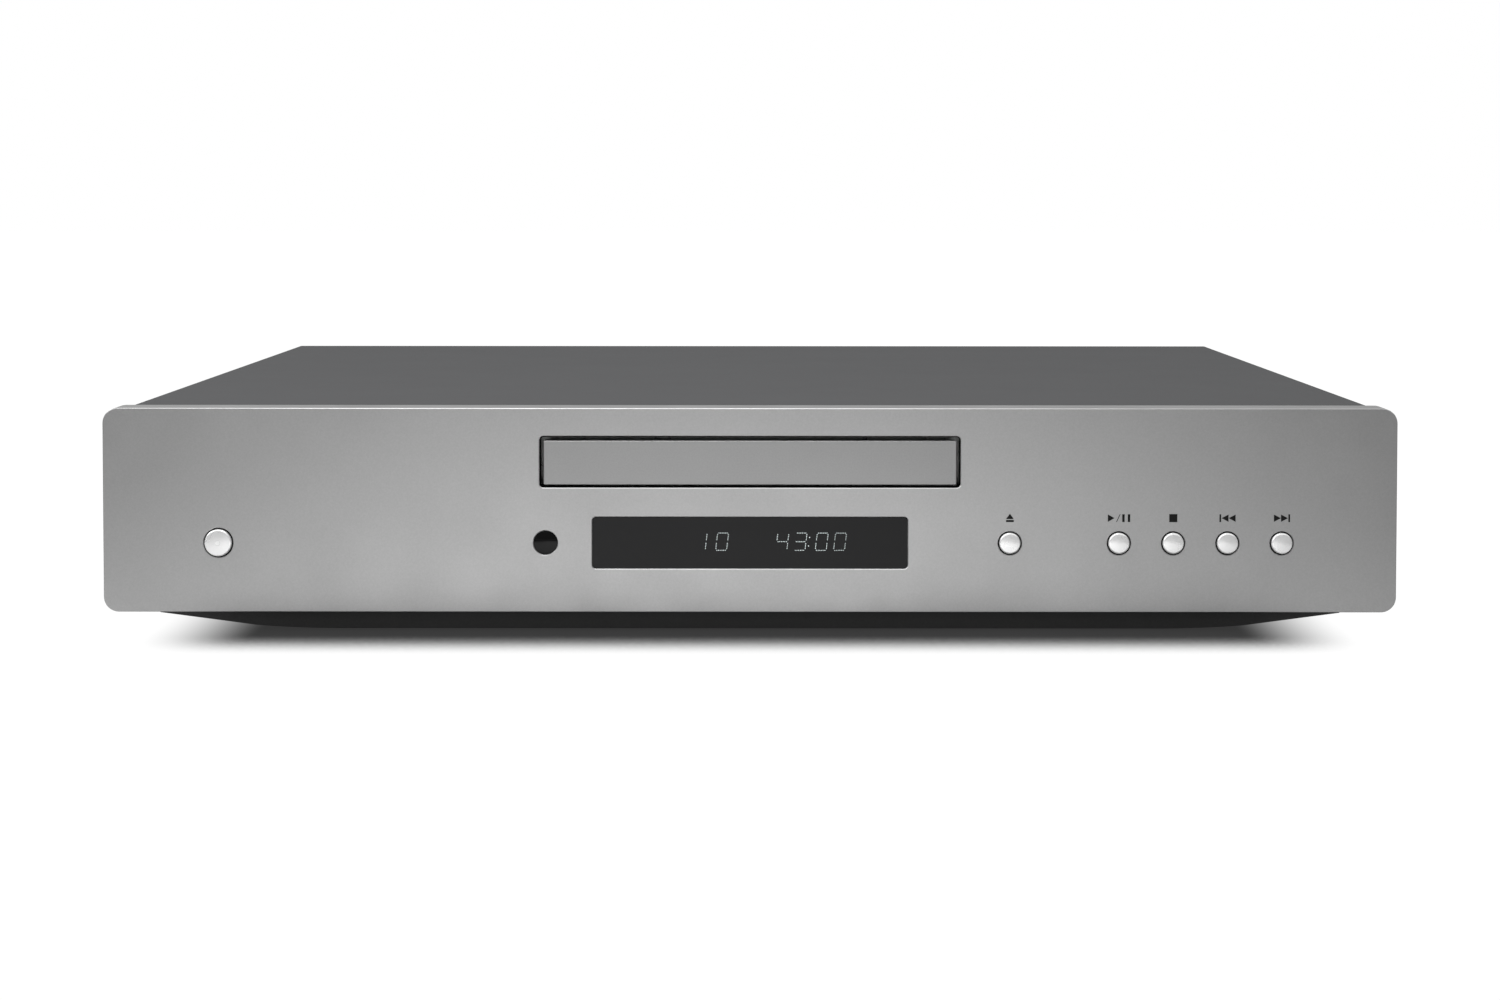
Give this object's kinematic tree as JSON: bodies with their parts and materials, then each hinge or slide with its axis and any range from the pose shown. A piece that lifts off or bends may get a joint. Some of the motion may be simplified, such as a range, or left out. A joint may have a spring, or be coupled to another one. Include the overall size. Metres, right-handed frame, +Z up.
{
  "type": "cd player",
  "caption": "Full-width hi-fi disc player with a motorised drawer, wide display window and round buttons in a thick metal front panel, on a steel case with rear sockets.",
  "frame": {"origin": "on the floor under the middle of the bounding box", "axes": "+X from left to right along the front, +Y from the front panel to the rear, +Z up"},
  "size_m": [0.43, 0.305, 0.075],
  "materials": {
    "fascia_metal": "bead-blasted satin anodised",
    "smoked_window": "polished smoked acrylic",
    "plated_steel": "zinc plated",
    "cover_paint": "fine satin powder coat",
    "rear_paint": "satin paint",
    "plinth_plastic": "fine-textured moulding",
    "foot_rubber": "matte",
    "screw_steel": "black zinc",
    "button_metal": "satin turned",
    "clear_plastic": "clear",
    "circuit_board": "solder mask",
    "display_glass": "dark glass display tube",
    "black_plastic": "moulded",
    "tray_plastic": "fine-textured moulding",
    "brass_spacer": "machined",
    "gear_plastic": "acetal moulding",
    "belt_rubber": "square belt",
    "magnet": "sintered",
    "motor_steel": "drawn can",
    "rod_steel": "ground",
    "pickup_alloy": "die cast",
    "lens_plastic": "coated lens",
    "capacitor_sleeve": "heat-shrunk sleeve",
    "heat_sink_metal": "extruded",
    "winding": "taped copper winding on a steel core",
    "contact_brass": "nickel plated",
    "socket_gold": "gold plated",
    "socket_colour": "moulded",
    "cable_plastic": "flexible"
  },
  "bodies": {
    "root": {"front_panel": "fascia_metal", "display_window": "smoked_window", "sensor_window": "smoked_window", "front_bracket": "plated_steel", "top_cover": "cover_paint", "chassis_base": "plated_steel", "rear_panel": "rear_paint", "front_plinth": "plinth_plastic", "rear_feet": "plinth_plastic", "foot_pads": "foot_rubber", "cover_screws": "screw_steel", "chassis_screws": "screw_steel", "display_board": "circuit_board", "display_tube": "display_glass", "switch_bodies": "black_plastic", "remote_sensor": "black_plastic", "loader_frame": "tray_plastic", "loader_legs": "brass_spacer", "clamp_bridge": "plated_steel", "drive_belt": "belt_rubber", "loading_motor": "motor_steel", "main_board": "circuit_board", "main_board_chips": "black_plastic", "capacitors": "capacitor_sleeve", "heat_sink": "heat_sink_metal", "power_board": "circuit_board", "transformer": "winding", "transformer_clamp": "plated_steel", "mains_inlet": "black_plastic", "inlet_pins": "contact_brass", "socket_housings": "black_plastic", "socket_sleeves": "socket_gold", "socket_insulators": "socket_colour", "inner_cables": "cable_plastic", "board_spacers": "brass_spacer"},
    "tray": {"disc_tray": "tray_plastic", "tray_front": "fascia_metal"},
    "drive_gear_body": {"drive_gear": "gear_plastic"},
    "pulley_gear_body": {"pulley_gear": "gear_plastic"},
    "motor_pulley_body": {"motor_pulley": "gear_plastic"},
    "cam": {"cam_slider": "gear_plastic"},
    "pickup_unit": {"pickup_frame": "plated_steel", "spindle_motor": "motor_steel", "guide_rods": "rod_steel", "sled_motor": "motor_steel"},
    "turntable_body": {"turntable": "black_plastic"},
    "sled": {"optical_pickup": "pickup_alloy"},
    "lens": {"lens_holder": "lens_plastic"},
    "sled_gear_body": {"sled_gear": "gear_plastic"},
    "sled_pinion_body": {"sled_pinion": "gear_plastic"},
    "clamp": {"clamp_puck": "black_plastic", "clamp_magnet": "magnet", "clamp_yoke": "plated_steel"},
    "standby_key": {"standby_button": "button_metal", "standby_light_pipe": "clear_plastic"},
    "eject_key": {"eject_button": "button_metal"},
    "play_key": {"play_button": "button_metal"},
    "stop_key": {"stop_button": "button_metal"},
    "previous_key": {"previous_button": "button_metal"},
    "next_key": {"next_button": "button_metal"}
  },
  "joints": [
    {"name": "tray_slide", "type": "slide", "parent": "root", "child": "tray", "axis": [0, -1, 0], "range_m": [0, 0.142]},
    {"name": "drive_gear_spin", "type": "hinge", "parent": "root", "child": "drive_gear_body", "pos_m": [-0.0358, -0.1173, 0.0459], "axis": [0, 0, 1], "range_deg": [-2, 910]},
    {"name": "pulley_gear_spin", "type": "hinge", "parent": "root", "child": "pulley_gear_body", "pos_m": [-0.0148, -0.1173, 0.0434], "axis": [0, 0, 1], "range_deg": [-2270, 2]},
    {"name": "motor_pulley_spin", "type": "hinge", "parent": "root", "child": "motor_pulley_body", "pos_m": [0.0232, -0.1173, 0.0394], "axis": [0, 0, 1], "range_deg": [-12700, 2]},
    {"name": "cam_slide", "type": "slide", "parent": "root", "child": "cam", "axis": [1, 0, 0], "range_m": [0, 0.014]},
    {"name": "frame_lift", "type": "hinge", "parent": "root", "child": "pickup_unit", "pos_m": [0, 0.0237, 0.047], "axis": [-1, 0, 0], "range_deg": [0, 6.6]},
    {"name": "turntable_spin", "type": "hinge", "parent": "pickup_unit", "child": "turntable_body", "pos_m": [0, -0.07187, 0.04641], "axis": [0, -0.1149, 0.9934], "continuous": true},
    {"name": "sled_slide", "type": "slide", "parent": "pickup_unit", "child": "sled", "axis": [0, 0.9934, 0.1149], "range_m": [0, 0.035]},
    {"name": "lens_focus", "type": "slide", "parent": "sled", "child": "lens", "axis": [0, -0.1149, 0.9934], "range_m": [-0.0004, 0.0004], "stiffness_N_per_m": 60},
    {"name": "sled_gear_spin", "type": "hinge", "parent": "pickup_unit", "child": "sled_gear_body", "pos_m": [0.039, -0.03519, 0.0426], "axis": [0, -0.1149, 0.9934], "range_deg": [-340, 2]},
    {"name": "sled_pinion_spin", "type": "hinge", "parent": "pickup_unit", "child": "sled_pinion_body", "pos_m": [0.039, -0.02374, 0.04292], "axis": [0, -0.1149, 0.9934], "range_deg": [-2, 1260]},
    {"name": "clamp_spin", "type": "hinge", "parent": "root", "child": "clamp", "pos_m": [0, -0.0713, 0.0614], "axis": [0, 0, 1], "continuous": true},
    {"name": "standby_press", "type": "slide", "parent": "root", "child": "standby_key", "axis": [0, 1, 0], "range_m": [0, 0.0005], "stiffness_N_per_m": 2000},
    {"name": "eject_press", "type": "slide", "parent": "root", "child": "eject_key", "axis": [0, 1, 0], "range_m": [0, 0.0005], "stiffness_N_per_m": 2000},
    {"name": "play_press", "type": "slide", "parent": "root", "child": "play_key", "axis": [0, 1, 0], "range_m": [0, 0.0005], "stiffness_N_per_m": 2000},
    {"name": "stop_press", "type": "slide", "parent": "root", "child": "stop_key", "axis": [0, 1, 0], "range_m": [0, 0.0005], "stiffness_N_per_m": 2000},
    {"name": "previous_press", "type": "slide", "parent": "root", "child": "previous_key", "axis": [0, 1, 0], "range_m": [0, 0.0005], "stiffness_N_per_m": 2000},
    {"name": "next_press", "type": "slide", "parent": "root", "child": "next_key", "axis": [0, 1, 0], "range_m": [0, 0.0005], "stiffness_N_per_m": 2000}
  ],
  "couplings": [
    {"joint": "drive_gear_spin", "follows": "tray_slide", "rad_per_m": 111.11},
    {"joint": "pulley_gear_spin", "follows": "tray_slide", "rad_per_m": -277.78},
    {"joint": "motor_pulley_spin", "follows": "tray_slide", "rad_per_m": -1550.9},
    {"joint": "frame_lift", "follows": "cam_slide", "rad_per_m": 8.2279},
    {"joint": "sled_gear_spin", "follows": "sled_slide", "rad_per_m": -166.67},
    {"joint": "sled_pinion_spin", "follows": "sled_slide", "rad_per_m": 625}
  ]
}
